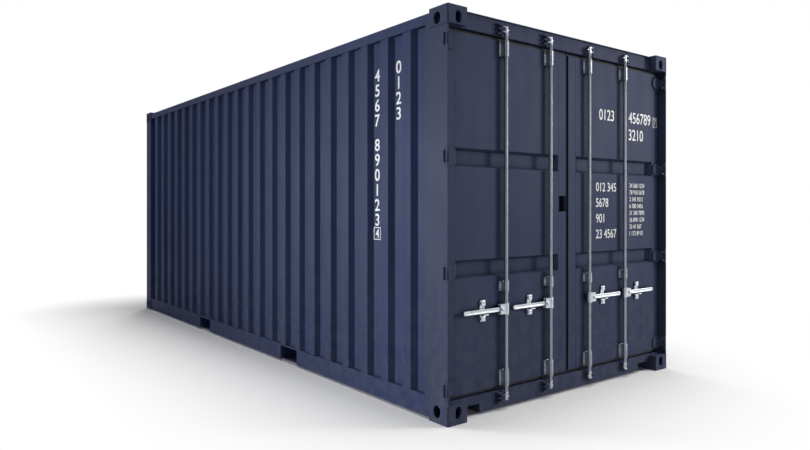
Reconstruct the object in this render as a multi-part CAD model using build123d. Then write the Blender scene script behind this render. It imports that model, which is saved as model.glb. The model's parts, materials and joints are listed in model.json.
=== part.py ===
from build123d import *
import os

# A 20 foot general purpose shipping container, in millimetres.
# X runs along its length with the doors at +X, Y across it, Z up from the ground.
# "rear" is the door end, "left" is the -Y side, as seen by someone facing the doors.

# overall size
length = 6058.0
width = 2438.0
height = 2591.0

# corner castings
casting_x = 178.0
casting_y = 162.0
casting_z = 118.0
casting_outer_wall = 16.0
casting_inner_wall = 10.0
aperture_wall = 28.0
aperture_length = 124.0
aperture_width = 63.5
aperture_from_end = 102.5
aperture_from_side = 89.5
side_hole_width = 63.5
end_hole_width = 51.0
hole_height = 79.5
hole_centre_z = 71.0
casting_edge = 9.0

# posts
post_setback = 3.0
post_plate = 6.0
rear_post_depth = 222.0
stop_box_face = 128.0
stop_box_side = 49.0
stop_box_wall = 6.0
front_post_width = 63.0

# rails of the long sides
rail_setback = 10.0
top_rail_drop = 18.0
top_rail_height = 68.0
top_rail_width = 60.0
top_rail_wall = 4.0
bottom_rail_bottom = 15.0
bottom_rail_top = 147.0
bottom_rail_wall = 4.5
bottom_rail_top_flange = 52.0
bottom_rail_low_flange = 34.0

# corrugated sheets
sheet = 2.0
side_wall_setback = 14.0
side_pitch = 250.0
side_crest = 87.0
side_slope = 41.0
side_depth = 30.0
front_wall_setback = 20.0
front_pitch = 250.0
front_crest = 110.0
front_slope = 18.0
front_depth = 45.0
roof_pitch = 209.0
roof_crest = 91.0
roof_slope = 14.0
roof_depth = 20.0

# rear frame and doors, measured forward from the rear plane
frame_recess = 60.0
door_recess = 66.0
door_thickness = 50.0
header_drop = 6.0
header_height = 108.0
header_wall = 6.0
header_lip = 14.0
header_lip_height = 8.0
header_stop_drop = 57.0
header_stop = 12.0
sill_top = 129.0
sill_wall = 6.0
sill_low_flange = 60.0
sill_cut_width = 165.0
sill_cut_top = 75.0
frame_gap = 28.0
leaf_gap = 28.0
hinge_edge = 28.0

# door leaf
stile_width = 85.0
stile_wall = 4.0
door_rail_height = 110.0
door_rail_wall = 4.0
panel_sheet = 3.0
band_height = 121.0
band_from_edge = 729.0
band_depth = 38.0
band_slope = 16.0
band_end_slope = 46.0
gasket_lip = 18.0
gasket_hinge_lip = 10.0
gasket_meeting_lip = 9.0
gasket_front = 10.0
gasket_depth = 38.0
pocket_from_bottom = 1155.0
pocket_height = 112.0

# hinges
hinge_count = 4
hinge_from_bottom = 55.0
hinge_from_top = 69.0
pin_from_rear = 11.0
pin_from_side = 11.0
pin_radius = 6.5
pin_clearance = 0.1
knuckle_radius = 10.0
knuckle_height = 66.0
notch_gap = 6.0
notch_depth = 43.0
lug_gap = 2.0
lug_height = 22.0
lug_depth = 24.0
arm_thickness = 10.0
leaf_height = 96.0
leaf_reach = 82.0
leaf_tip = 52.0
leaf_taper = 30.0

# locking bars, measured out of the door face
bar_places = (221.0, 672.0)
bar_axis = 32.0
bar_radius = 12.5
bar_clearance = 0.3
cam_from_frame = 42.0
cam_plate = 10.0
cam_spacing = 32.0
cam_tooth = 50.0
cam_tooth_front = 10.0
cam_tooth_back = 16.0
cam_hook = 14.0
cam_prong = 22.5
cam_prong_width = 12.0
cam_ring_radius = 15.5
cam_ring_height = 12.0
keeper_back = 4.0
keeper_plate = 10.0
keeper_reach = 32.0
keeper_width = 52.0
keeper_gap = 6.0
keeper_ear = 10.0
keeper_ear_gap = 4.0
keeper_ear_reach = 26.0
end_bracket_gap = 4.0
end_bracket_height = 104.0
middle_bracket_from_bottom = 629.0
middle_bracket_height = 66.0
bracket_plate = 5.0
bracket_half_width = 40.0
bracket_wall = 5.0

# handles
handle_from_bottom = 514.0
handle_thickness = 12.0
handle_depth = 28.0
handle_length = 385.0
handle_corner = 8.0
handle_groove_depth = 3.0
handle_groove_height = 12.0
handle_groove_ends = 24.0
handle_pin = 46.0
handle_pin_radius = 6.0
handle_clearance = 0.1
cheek = 6.0
cheek_gap = 0.5
cheek_end = 18.0
cheek_height = 66.0
hub_half = 18.0
hub_height = 76.0
retainer_place = 195.0
retainer_plate = 5.0
retainer_width = 44.0
retainer_height = 124.0
retainer_gap = 5.0
retainer_shelf = 8.0
retainer_shelf_reach = 44.0
hook_thickness = 8.0
hook_rise = 34.0
hook_height = 34.0
hook_length = 46.0
hook_bar = 10.0

# floor and underside
floor_top = 170.0
floor_thickness = 28.0
floor_rows = 2
floor_panels = 3
floor_joint = 2.0
floor_side_gap = 3.0
beam_spacing = 300.0
beam_width = 45.0
beam_wall = 4.0
beam_bottom = 20.0
fork_centre = 960.0
fork_width = 290.0
fork_plate = 6.0
fork_strap = 200.0
fork_strap_thickness = 5.0

# places that follow from the sizes above
rear = length / 2
front = -length / 2
left = -width / 2
casting_top = height - casting_z
top_rail_top = height - top_rail_drop
top_rail_bottom = top_rail_top - top_rail_height
header_top = height - header_drop
header_bottom = header_top - header_height
frame_face = rear - frame_recess
stop_face = rear - stop_box_face
door_face = rear - door_recess
door_back = door_face - door_thickness
door_bottom = sill_top + frame_gap
door_top = header_bottom - frame_gap
door_outer = left + hinge_edge
door_inner = -leaf_gap / 2
floor_bottom = floor_top - floor_thickness
pin_x = rear - pin_from_rear
pin_y = left + pin_from_side
lowest_hinge = door_bottom + hinge_from_bottom
hinge_step = (door_top - hinge_from_top - lowest_hinge) / (hinge_count - 1)
hinge_heights = [lowest_hinge + number * hinge_step for number in range(hinge_count)]
lug_end = knuckle_height / 2 + lug_gap + lug_height
bar_x = door_face + bar_axis
top_cam = header_bottom + cam_from_frame
bottom_cam = sill_top - cam_from_frame
cam_half = (cam_spacing + cam_plate) / 2
handle_height = door_bottom + handle_from_bottom


def block(x_range, y_range, z_range):
    """A box between two values on each axis."""
    spans = (x_range, y_range, z_range)
    centre = [(low + high) / 2 for low, high in spans]
    size = [high - low for low, high in spans]
    return Pos(*centre) * Box(*size)


def upright(points, z_range):
    """A plan outline (x, y) raised between two heights."""
    face = make_face(Polyline(*points, close=True))
    return Pos(0, 0, z_range[0]) * extrude(face, z_range[1] - z_range[0])


def disc(x, y, radius, z_range):
    """A vertical cylinder between two heights."""
    tall = z_range[1] - z_range[0]
    return Pos(x, y, (z_range[0] + z_range[1]) / 2) * Cylinder(radius, tall)


def octagon(x, y, half):
    """The corners (x, y) of a regular octagon, from half the distance across its flats."""
    flat = half * (2 ** 0.5 - 1)
    corners = [(half, -flat), (half, flat), (flat, half), (-flat, half)]
    corners += [(-along, -across) for along, across in corners]
    return [(x + along, y + across) for along, across in corners]


def to_right(shape):
    """The same piece on the other side of the container."""
    return shape.mirror(Plane.XZ)


def both_sides(shapes):
    return [*shapes, *[to_right(shape) for shape in shapes]]


def save(name, solids):
    """Write one node, from one solid or several that stand apart."""
    parts = [solid for shape in solids for solid in shape.solids()]
    export_step(parts[0] if len(parts) == 1 else Compound(parts), f"parts/{name}.step")


def corrugated(span, pitch, crest, slope, depth):
    """One edge of a corrugated sheet, (along, out), with whole waves between flat ends."""
    wave = crest + 2 * slope
    count = int((span - wave) // pitch) + 1
    first = (span - (count - 1) * pitch - wave) / 2
    points = [(0, 0)]
    for number in range(count):
        start = first + number * pitch
        points.append((start, 0))
        points.append((start + slope, depth))
        points.append((start + slope + crest, depth))
        points.append((start + wave, 0))
    points.append((span, 0))
    return points


def sheet_outline(points, thickness):
    """A closed outline from one edge of a sheet and its thickness."""
    inner = [(along, out - thickness) for along, out in reversed(points)]
    return [*points, *inner]


# corner castings
def casting():
    """One casting with its outer corner at the origin and its long aperture facing down."""
    body = Pos(casting_x / 2, casting_y / 2, casting_z / 2) * Box(casting_x, casting_y, casting_z)
    outer_edge = body.edges().filter_by(Axis.Z).sort_by(Axis.X)[0:2].sort_by(Axis.Y)[0:1]
    body = fillet(outer_edge, casting_edge)
    body -= block(
        (casting_outer_wall, casting_x - casting_inner_wall),
        (casting_outer_wall, casting_y - casting_inner_wall),
        (aperture_wall, casting_z - casting_inner_wall),
    )
    slot = Pos(aperture_from_end, aperture_from_side) * SlotOverall(aperture_length, aperture_width)
    body -= extrude(slot, aperture_wall)
    upright_slot = SlotOverall(hole_height, side_hole_width, rotation=90)
    side_hole = Plane.XZ * (Pos(aperture_from_end, hole_centre_z) * upright_slot)
    body -= extrude(side_hole, casting_outer_wall, dir=(0, 1, 0))
    end_slot = SlotOverall(hole_height, end_hole_width, rotation=90)
    end_hole = Plane.YZ * (Pos(aperture_from_side, hole_centre_z) * end_slot)
    body -= extrude(end_hole, casting_outer_wall, dir=(1, 0, 0))
    return body


def castings():
    lower_front = Pos(front, left, 0) * casting()
    lower_rear = lower_front.mirror(Plane.YZ)
    lower = both_sides([lower_front, lower_rear])
    middle = Plane.XY.offset(height / 2)
    return [*lower, *[shape.mirror(middle) for shape in lower]]


# posts
def rear_post():
    """The plate beside the doors with its notches, and the hollow stop box behind their edge."""
    plate_y = left + post_setback
    inner_y = plate_y + post_plate
    z_range = (casting_z, top_rail_bottom)
    plate = block((rear - rear_post_depth, rear - post_setback), (plate_y, inner_y), z_range)
    for centre in hinge_heights:
        half = knuckle_height / 2 + notch_gap
        plate -= block((rear - notch_depth, rear), (plate_y, inner_y), (centre - half, centre + half))
        lug_x = (rear - post_setback - lug_depth, rear)
        plate -= block(lug_x, (plate_y, inner_y), (centre - lug_end, centre + lug_end))
    box_x = (rear - rear_post_depth, stop_face)
    box_y = (inner_y, left + stop_box_side)
    box = block(box_x, box_y, z_range)
    hollow_x = (box_x[0] + stop_box_wall, box_x[1] - stop_box_wall)
    hollow_y = (box_y[0], box_y[1] - stop_box_wall)
    post = plate + box - block(hollow_x, hollow_y, z_range)
    casting_end = rear - casting_x
    post -= block((casting_end, rear), (left, left + casting_y), (casting_top, top_rail_bottom))
    post -= block((rear - rear_post_depth, casting_end), (left, 0), (casting_z, bottom_rail_top))
    return post


def front_post():
    outer_x = (front + post_setback, front + casting_x)
    outer_y = (left + post_setback, left + front_post_width)
    inner_x = (outer_x[0] + post_plate, outer_x[1] - post_plate)
    inner_y = (outer_y[0] + post_plate, outer_y[1] - post_plate)
    z_range = (casting_z, casting_top)
    return block(outer_x, outer_y, z_range) - block(inner_x, inner_y, z_range)


# rails of the long sides and of the front end
rail_x = (front + casting_x, rear - casting_x)
rail_outer = left + rail_setback


def top_side_rail():
    outer = block(rail_x, (rail_outer, rail_outer + top_rail_width), (top_rail_bottom, top_rail_top))
    bore_y = (rail_outer + top_rail_wall, rail_outer + top_rail_width - top_rail_wall)
    return outer - block(rail_x, bore_y, (top_rail_bottom + top_rail_wall, top_rail_top - top_rail_wall))


def bottom_side_rail():
    """A channel with its web outside, cut away where the fork pockets come through."""
    z_range = (bottom_rail_bottom, bottom_rail_top)
    web = block(rail_x, (rail_outer, rail_outer + bottom_rail_wall), z_range)
    top_y = (rail_outer, rail_outer + bottom_rail_top_flange)
    low_y = (rail_outer, rail_outer + bottom_rail_low_flange)
    rail = web + block(rail_x, top_y, (bottom_rail_top - bottom_rail_wall, bottom_rail_top))
    rail += block(rail_x, low_y, (bottom_rail_bottom, bottom_rail_bottom + bottom_rail_wall))
    for centre in (-fork_centre, fork_centre):
        x_range = (centre - fork_width / 2, centre + fork_width / 2)
        rail -= block(x_range, low_y, (bottom_rail_bottom, floor_bottom - fork_plate))
    return rail


between_castings = (left + casting_y, -left - casting_y)


def front_top_rail():
    """A hollow rail under the front edge of the roof, with the roof's end plate on it."""
    outer_x = (front + post_setback, front + front_post_width)
    z_range = (casting_top, top_rail_top)
    inner_x = (outer_x[0] + top_rail_wall, outer_x[1] - top_rail_wall)
    inner_z = (z_range[0] + top_rail_wall, z_range[1] - top_rail_wall)
    rail = block(outer_x, between_castings, z_range) - block(inner_x, between_castings, inner_z)
    plate_z = (top_rail_top - top_rail_wall, top_rail_top)
    return rail + block((outer_x[1], front + casting_x), between_castings, plate_z)


def front_bottom_rail():
    outer_x = (front + post_setback, front + casting_x)
    z_range = (bottom_rail_bottom, casting_z)
    web = block((outer_x[0], outer_x[0] + sill_wall), between_castings, z_range)
    top = block(outer_x, between_castings, (casting_z - sill_wall, casting_z))
    low_x = (outer_x[0], outer_x[0] + sill_low_flange)
    low_z = (bottom_rail_bottom, bottom_rail_bottom + sill_wall)
    return web + top + block(low_x, between_castings, low_z)


# rear frame
between_plates = (left + post_setback + post_plate, -left - post_setback - post_plate)
between_stops = (left + stop_box_side, -left - stop_box_side)


def door_header():
    """A hollow beam between the castings with a lip along its top, and the stop behind the doors."""
    outer_x = (rear - casting_x, frame_face)
    inner_x = (outer_x[0] + header_wall, outer_x[1] - header_wall)
    z_range = (header_bottom, header_top)
    inner_z = (z_range[0] + header_wall, z_range[1] - header_wall)
    beam = block(outer_x, between_castings, z_range) - block(inner_x, between_castings, inner_z)
    lip_x = (frame_face, frame_face + header_lip)
    beam += block(lip_x, between_castings, (header_top - header_lip_height, header_top))
    stop_x = (stop_face - header_stop, stop_face)
    beam += block(stop_x, between_castings, (casting_top, header_bottom))
    return beam + block(stop_x, between_stops, (header_bottom - header_stop_drop, casting_top))


def door_sill():
    """A channel with its web towards the rear, cut away beside the castings, and a step up to the floor."""
    web_x = (frame_face - sill_wall, frame_face)
    web = block(web_x, between_castings, (bottom_rail_bottom, casting_z))
    sill = web + block(web_x, between_plates, (casting_z, sill_top))
    sill += block((stop_face, frame_face), between_plates, (sill_top - sill_wall, sill_top))
    sill += block((stop_face - sill_wall, stop_face), between_stops, (sill_top - sill_wall, floor_top))
    sill += block((rear - casting_x, stop_face), between_stops, (floor_top - sill_wall, floor_top))
    low_x = (frame_face - sill_low_flange, frame_face)
    flange_z = (bottom_rail_bottom, bottom_rail_bottom + sill_wall)
    sill += block(low_x, between_castings, flange_z)
    web_to_back = (rear - casting_x, frame_face)
    for end_y in between_castings:
        inward = 1 if end_y < 0 else -1
        cut_y = end_y + inward * sill_cut_width
        cut = sorted((end_y, cut_y))
        sill -= block(low_x, cut, (bottom_rail_bottom, sill_cut_top))
        gusset = sorted((cut_y, cut_y + inward * sill_wall))
        sill += block(web_to_back, gusset, (bottom_rail_bottom, sill_top - sill_wall))
        ledge = sorted((end_y, cut_y + inward * sill_wall))
        sill += block(web_to_back, ledge, (sill_cut_top, sill_cut_top + sill_wall))
    return sill


# corrugated walls and roof
def side_wall():
    start = front + casting_x
    span = rear - rear_post_depth - start
    line = corrugated(span, side_pitch, side_crest, side_slope, side_depth)
    face_y = left + side_wall_setback + side_depth
    points = [(start + along, face_y - out) for along, out in sheet_outline(line, sheet)]
    return upright(points, (bottom_rail_top, top_rail_bottom))


def front_wall():
    start = left + front_post_width
    line = corrugated(-2 * start, front_pitch, front_crest, front_slope, front_depth)
    face_x = front + front_wall_setback + front_depth
    points = [(face_x - out, start + along) for along, out in sheet_outline(line, sheet)]
    return upright(points, (casting_z, casting_top))


def roof():
    line = corrugated(rail_x[1] - rail_x[0], roof_pitch, roof_crest, roof_slope, roof_depth)
    low = top_rail_top - roof_depth
    points = [(rail_x[0] + along, low + out) for along, out in sheet_outline(line, sheet)]
    edge_y = -rail_outer - top_rail_width
    face = Plane.XZ * make_face(Polyline(*points, close=True))
    return Pos(0, -edge_y, 0) * extrude(face, 2 * edge_y, dir=(0, 1, 0))


# floor and underside
def floor_boards():
    start = front + front_wall_setback + front_depth + sheet + floor_side_gap
    end = rear - casting_x
    edge = left + rail_setback + bottom_rail_top_flange + floor_side_gap
    long = (end - start - (floor_panels - 1) * floor_joint) / floor_panels
    wide = (-2 * edge - (floor_rows - 1) * floor_joint) / floor_rows
    boards = []
    for row in range(floor_rows):
        y_low = edge + row * (wide + floor_joint)
        for panel in range(floor_panels):
            x_low = start + panel * (long + floor_joint)
            boards.append(block((x_low, x_low + long), (y_low, y_low + wide), (floor_bottom, floor_top)))
    return boards


beam_y = (rail_outer + bottom_rail_wall, -rail_outer - bottom_rail_wall)


def cross_members():
    """Channels under the floor from rail to rail, left out where the fork pockets are."""
    reach = rail_x[1] - beam_width
    count = int(reach // beam_spacing)
    beams = []
    for number in range(-count, count + 1):
        x_low = number * beam_spacing
        if abs(abs(x_low + beam_width / 2) - fork_centre) < fork_width / 2 + fork_plate + beam_width:
            continue
        x_range = (x_low, x_low + beam_width)
        z_range = (beam_bottom, floor_bottom)
        web = block((x_low, x_low + beam_wall), beam_y, z_range)
        top = block(x_range, beam_y, (floor_bottom - beam_wall, floor_bottom))
        low = block(x_range, beam_y, (beam_bottom, beam_bottom + beam_wall))
        beams.append(web + top + low)
    return beams


def fork_pockets():
    """Two tunnels across the underside, with a strap under each mouth."""
    pockets = []
    for centre in (-fork_centre, fork_centre):
        outer = (centre - fork_width / 2 - fork_plate, centre + fork_width / 2 + fork_plate)
        inner = (centre - fork_width / 2, centre + fork_width / 2)
        pocket = block(outer, beam_y, (beam_bottom, floor_bottom))
        pocket -= block(inner, beam_y, (beam_bottom, floor_bottom - fork_plate))
        strap_z = (beam_bottom - fork_strap_thickness, beam_bottom)
        strap_start = rail_outer + bottom_rail_low_flange
        strap = block(outer, (strap_start, strap_start + fork_strap), strap_z)
        pockets.append(pocket + strap + to_right(strap))
    return pockets


# hinges of the left door
def hinge_lugs():
    """Two lugs above and below each knuckle, let into the edge of the post's plate."""
    x_range = (rear - post_setback - lug_depth, rear - post_setback)
    y_range = (left + post_setback, pin_y + knuckle_radius)
    lugs = []
    for centre in hinge_heights:
        lugs.append(block(x_range, y_range, (centre + lug_end - lug_height, centre + lug_end)))
        lugs.append(block(x_range, y_range, (centre - lug_end, centre - lug_end + lug_height)))
    return lugs


def hinge_pins():
    """A pin between each pair of lugs."""
    half = lug_end - lug_height
    return [disc(pin_x, pin_y, pin_radius, (centre - half, centre + half)) for centre in hinge_heights]


def hinge_blade(centre):
    """A knuckle round the pin, an arm in to the door and a tapered leaf on its face."""
    z_range = (centre - knuckle_height / 2, centre + knuckle_height / 2)
    half = arm_thickness / 2
    bend = Vector(door_face + half, door_outer + half)
    start = Vector(pin_x, pin_y)
    across = (bend - start).normalized().rotate(Axis.Z, 90) * half
    corners = [start + across, bend + across, bend - across, start - across]
    arm = upright([(corner.X, corner.Y) for corner in corners], z_range)
    knuckle = disc(start.X, start.Y, knuckle_radius, z_range)
    tip_y = door_outer + leaf_reach
    outline = [
        (door_outer, centre - leaf_height / 2),
        (tip_y - leaf_taper, centre - leaf_height / 2),
        (tip_y, centre - leaf_tip / 2),
        (tip_y, centre + leaf_tip / 2),
        (tip_y - leaf_taper, centre + leaf_height / 2),
        (door_outer, centre + leaf_height / 2),
    ]
    leaf = extrude(Plane.YZ * make_face(Polyline(*outline, close=True)), arm_thickness, dir=(1, 0, 0))
    blade = knuckle + arm + Pos(door_face, 0, 0) * leaf
    return blade - disc(start.X, start.Y, pin_radius + pin_clearance, z_range)


# left door leaf
door_x = (door_back, door_face)
door_z = (door_bottom, door_top)
panel_y = (door_outer + stile_width, door_inner - stile_width)
panel_z = (door_bottom + door_rail_height, door_top - door_rail_height)
lower_band = door_bottom + band_from_edge
upper_band = door_top - band_from_edge - band_height


def stile(y_low):
    outer = block(door_x, (y_low, y_low + stile_width), door_z)
    bore_x = (door_back + stile_wall, door_face - stile_wall)
    return outer - block(bore_x, (y_low + stile_wall, y_low + stile_width - stile_wall), door_z)


def seal_pocket():
    """The recess for a seal in the meeting stile, open to the front and to the other door."""
    low_y = door_inner - stile_width + 2 * stile_wall
    low_z = door_bottom + pocket_from_bottom
    return block((door_face - stile_wall, door_face), (low_y, door_inner), (low_z, low_z + pocket_height))


def door_rail(z_range):
    """A channel between the stiles, its web flush with the door's face."""
    web = block((door_face - door_rail_wall, door_face), panel_y, z_range)
    low = block(door_x, panel_y, (z_range[0], z_range[0] + door_rail_wall))
    top = block(door_x, panel_y, (z_range[1] - door_rail_wall, z_range[1]))
    return web + low + top


def pressing(low_z, grow):
    """The hollow of one band, wide at the door's face and narrower at its bottom, grown for the sheet."""
    centre = ((panel_y[0] + panel_y[1]) / 2, low_z + band_height / 2)
    wide = panel_y[1] - panel_y[0] - 2 * panel_sheet + 2 * grow
    tall = band_height + 2 * grow
    mouth = Pos(*centre) * Rectangle(wide, tall)
    bottom = Pos(*centre) * Rectangle(wide - 2 * band_end_slope, tall - 2 * band_slope)
    at_face = Plane.YZ.offset(door_face - grow)
    return loft([at_face * mouth, at_face.offset(-band_depth) * bottom])


def door_panel():
    """A steel sheet flush with the door's face, with two bands pressed into it."""
    panel = block((door_face - panel_sheet, door_face), panel_y, panel_z)
    for low_z in (lower_band, upper_band):
        panel += pressing(low_z, panel_sheet)
        panel -= pressing(low_z, 0)
    return panel


def door_gasket():
    """A rubber frame round the edge of the door."""
    x_range = (door_face - gasket_front - gasket_depth, door_face - gasket_front)
    outer_y = (door_outer - gasket_hinge_lip, door_inner + gasket_meeting_lip)
    outer_z = (door_bottom - gasket_lip, door_top + gasket_lip)
    return block(x_range, outer_y, outer_z) - block(x_range, (door_outer, door_inner), door_z)


# locking gear of the left door, for one bar
def bar_rod(bar_y):
    """The bar from cam to cam."""
    reach = cam_half + cam_ring_height
    return disc(bar_x, bar_y, bar_radius, (bottom_cam + reach, top_cam - reach))


def cam(bar_y, centre, inward):
    """The end of a bar: two hooked teeth to the hinge side, a prong to the other, and a ring at the bar."""
    core = upright(octagon(bar_x, bar_y, bar_radius), (centre - cam_half, centre + cam_half))
    ring_z = sorted((centre + inward * cam_half, centre + inward * (cam_half + cam_ring_height)))
    core += disc(bar_x, bar_y, cam_ring_radius, ring_z)
    tip = bar_y - cam_tooth
    tooth = [
        (bar_x + cam_tooth_front, bar_y),
        (bar_x + cam_tooth_front, tip + cam_hook),
        (bar_x, tip),
        (bar_x - cam_tooth_back, tip),
        (bar_x - cam_tooth_back, tip + cam_hook),
        (bar_x - cam_tooth_front, tip + 2 * cam_hook),
        (bar_x - cam_tooth_front, bar_y),
    ]
    for middle in (centre - cam_spacing / 2, centre + cam_spacing / 2):
        core += upright(tooth, (middle - cam_plate / 2, middle + cam_plate / 2))
    prong_x = (bar_x - cam_prong_width / 2, bar_x + cam_prong_width / 2)
    prong_z = (centre - cam_plate / 2, centre + cam_plate / 2)
    return core + block(prong_x, (bar_y, bar_y + cam_prong), prong_z)


def keeper(bar_y, centre):
    """A plate on the frame with a tongue between the teeth of a cam and an ear above and below them."""
    y_high = bar_y - cam_ring_radius - keeper_gap
    y_range = (y_high - keeper_width, y_high)
    ear_start = cam_half + keeper_ear_gap
    ear_end = ear_start + keeper_ear
    body = block((frame_face, frame_face + keeper_back), y_range, (centre - ear_end, centre + ear_end))
    tongue_z = (centre - keeper_plate / 2, centre + keeper_plate / 2)
    body += block((frame_face, frame_face + keeper_reach), y_range, tongue_z)
    ear_x = (frame_face, frame_face + keeper_ear_reach)
    for ear_z in ((centre + ear_start, centre + ear_end), (centre - ear_end, centre - ear_start)):
        body += block(ear_x, y_range, ear_z)
    return body


def bar_bracket(bar_y, z_range):
    """A guide: a plate on the door and a clasp bent round the bar."""
    bore = bar_radius + bar_clearance
    outer = bore + bracket_wall
    front_half = [corner for corner in octagon(bar_x, bar_y, outer) if corner[0] > bar_x]
    front_half.sort(key=lambda corner: corner[1])
    clasp = [(door_face, bar_y - outer), *front_half, (door_face, bar_y + outer)]
    plate_x = (door_face, door_face + bracket_plate)
    plate_y = (bar_y - bracket_half_width, bar_y + bracket_half_width)
    bracket = upright(clasp, z_range) + block(plate_x, plate_y, z_range)
    bracket -= block((plate_x[1], bar_x), (bar_y - bore, bar_y + bore), z_range)
    return bracket - disc(bar_x, bar_y, bore, z_range)


def handle_hub(bar_y):
    """An eight-sided collar on the bar with two cheeks and the pin that the handle lifts on."""
    z_range = (handle_height - hub_height / 2, handle_height + hub_height / 2)
    hub = upright(octagon(bar_x, bar_y, hub_half), z_range)
    cheek_z = (handle_height - cheek_height / 2, handle_height + cheek_height / 2)
    cheek_y = (bar_y - handle_pin - cheek_end, bar_y)
    inner = handle_thickness / 2 + cheek_gap
    hub += block((bar_x - inner - cheek, bar_x + inner + cheek), cheek_y, cheek_z)
    hub -= block((bar_x - inner, bar_x + inner), (cheek_y[0], bar_y - hub_half), cheek_z)
    pin = Rot(0, 90, 0) * Cylinder(handle_pin_radius, 2 * inner)
    hub += Pos(bar_x, bar_y - handle_pin, handle_height) * pin
    return hub - disc(bar_x, bar_y, bar_radius + handle_clearance, z_range)


def handle(bar_y):
    """A flat grooved bar with a round eye on the hub's pin."""
    x_range = (bar_x - handle_thickness / 2, bar_x + handle_thickness / 2)
    z_range = (handle_height - handle_depth / 2, handle_height + handle_depth / 2)
    eye_y = bar_y - handle_pin
    end_y = bar_y - handle_length
    lever = block(x_range, (end_y, eye_y), z_range)
    end_edges = lever.edges().filter_by(Axis.X).sort_by(Axis.Y)[0:2]
    lever = chamfer(end_edges, handle_corner)
    turned = Pos(bar_x, eye_y, handle_height) * Rot(0, 90, 0)
    lever += turned * Cylinder(handle_depth / 2, handle_thickness)
    groove_y = (end_y + handle_groove_ends, eye_y - cheek_end - handle_groove_ends)
    groove_z = (handle_height - handle_groove_height / 2, handle_height + handle_groove_height / 2)
    lever -= block((x_range[1] - handle_groove_depth, x_range[1]), groove_y, groove_z)
    return lever - turned * Cylinder(handle_pin_radius + handle_clearance, handle_thickness)


def handle_retainer(bar_y):
    """A plate with a hook above and below the handle, open to the hinges, and a shelf under it."""
    centre_y = bar_y - retainer_place
    half_wide = retainer_width / 2
    half_tall = retainer_height / 2
    plate_x = (door_face, door_face + retainer_plate)
    retainer = block(plate_x, (centre_y - half_wide, centre_y + half_wide),
                     (handle_height - half_tall, handle_height + half_tall))
    hook_x = (plate_x[1], plate_x[1] + hook_thickness)
    hook_y = (centre_y + half_wide - hook_length, centre_y + half_wide)
    for sign in (-1, 1):
        near = handle_height + sign * hook_rise
        far = near + sign * hook_height
        retainer += block(hook_x, hook_y, sorted((near, far)))
        mouth_y = (hook_y[0], hook_y[1] - hook_bar)
        retainer -= block(hook_x, mouth_y, sorted((near + sign * hook_bar, far - sign * hook_bar)))
    shelf_top = handle_height - handle_depth / 2 - retainer_gap
    shelf_x = (door_face, door_face + retainer_shelf_reach)
    shelf_y = (centre_y - half_wide, centre_y + half_wide)
    return retainer + block(shelf_x, shelf_y, (shelf_top - retainer_shelf, shelf_top))


os.makedirs("parts", exist_ok=True)

save("corner_castings", castings())
save("rear_corner_posts", both_sides([rear_post()]))
save("front_corner_posts", both_sides([front_post()]))
save("top_side_rails", both_sides([top_side_rail()]))
save("bottom_side_rails", both_sides([bottom_side_rail()]))
save("front_top_rail", [front_top_rail()])
save("front_bottom_rail", [front_bottom_rail()])
save("door_header", [door_header()])
save("door_sill", [door_sill()])
save("left_side_wall", [side_wall()])
save("right_side_wall", [to_right(side_wall())])
save("front_wall", [front_wall()])
save("roof", [roof()])
save("floor", floor_boards())
save("cross_members", cross_members())
save("fork_pockets", fork_pockets())
save("hinge_lugs", both_sides(hinge_lugs()))
save("hinge_pins", both_sides(hinge_pins()))

left_keepers = [keeper(-place, centre) for place in bar_places for centre in (bottom_cam, top_cam)]
save("cam_keepers", both_sides(left_keepers))

hinge_stile = stile(door_outer)
meeting_stile = stile(door_inner - stile_width)
rails = [
    door_rail((door_bottom, door_bottom + door_rail_height)),
    door_rail((door_top - door_rail_height, door_top)),
]
blades = [hinge_blade(centre) for centre in hinge_heights]
low_bracket = door_bottom + end_bracket_gap
middle_bracket = door_bottom + middle_bracket_from_bottom
top_bracket = door_top - end_bracket_gap - end_bracket_height
bracket_spans = [
    (low_bracket, low_bracket + end_bracket_height),
    (middle_bracket, middle_bracket + middle_bracket_height),
    (top_bracket, top_bracket + end_bracket_height),
]
brackets = [bar_bracket(-place, span) for place in bar_places for span in bracket_spans]
retainers = [handle_retainer(-place) for place in bar_places]

door_nodes = {
    "door_panel": [door_panel()],
    "door_rails": rails,
    "door_gasket": [door_gasket()],
    "hinge_blades": blades,
    "bar_brackets": brackets,
    "handle_retainers": retainers,
}
save("left_door_stiles", [hinge_stile, meeting_stile - seal_pocket()])
save("right_door_stiles", [to_right(hinge_stile), to_right(meeting_stile)])
for name, solids in door_nodes.items():
    save(f"left_{name}", solids)
    save(f"right_{name}", [to_right(solid) for solid in solids])

for place, label in zip(bar_places, ("inner", "outer")):
    bar_nodes = {
        "bar": [bar_rod(-place)],
        "bar_fittings": [cam(-place, bottom_cam, 1), cam(-place, top_cam, -1), handle_hub(-place)],
        "handle": [handle(-place)],
    }
    for name, solids in bar_nodes.items():
        save(f"left_{label}_{name}", solids)
        save(f"right_{label}_{name}", [to_right(solid) for solid in solids])
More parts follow.
